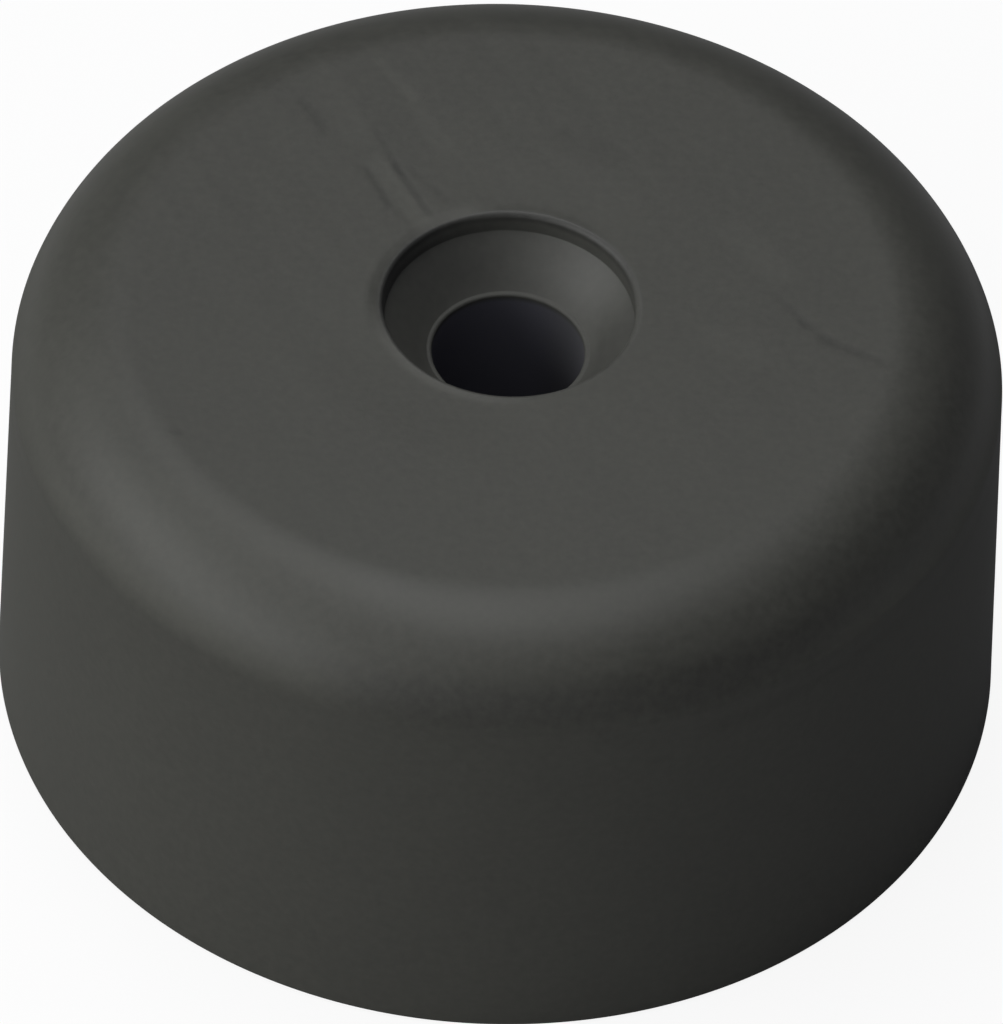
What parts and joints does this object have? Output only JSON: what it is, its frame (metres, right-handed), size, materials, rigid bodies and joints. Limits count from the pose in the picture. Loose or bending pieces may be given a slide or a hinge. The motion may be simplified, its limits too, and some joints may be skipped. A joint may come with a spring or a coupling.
{
  "type": "furniture glide",
  "caption": "Squat round rubber foot with a large rounded crown, a slightly tapered side and a countersunk through hole for a screw; fixed under furniture as a glide or bumper.",
  "frame": {"origin": "centre of the mounting face, on the axis of the screw bore", "axes": "+Z along the screw bore, from the mounting face to the floor face; X and Y are free, because the part is round"},
  "size_m": [0.04, 0.04, 0.02],
  "materials": {
    "rubber": "matte, dark grey, smooth moulded skin"
  },
  "bodies": {
    "root": {"glide": "rubber"}
  },
  "joints": []
}
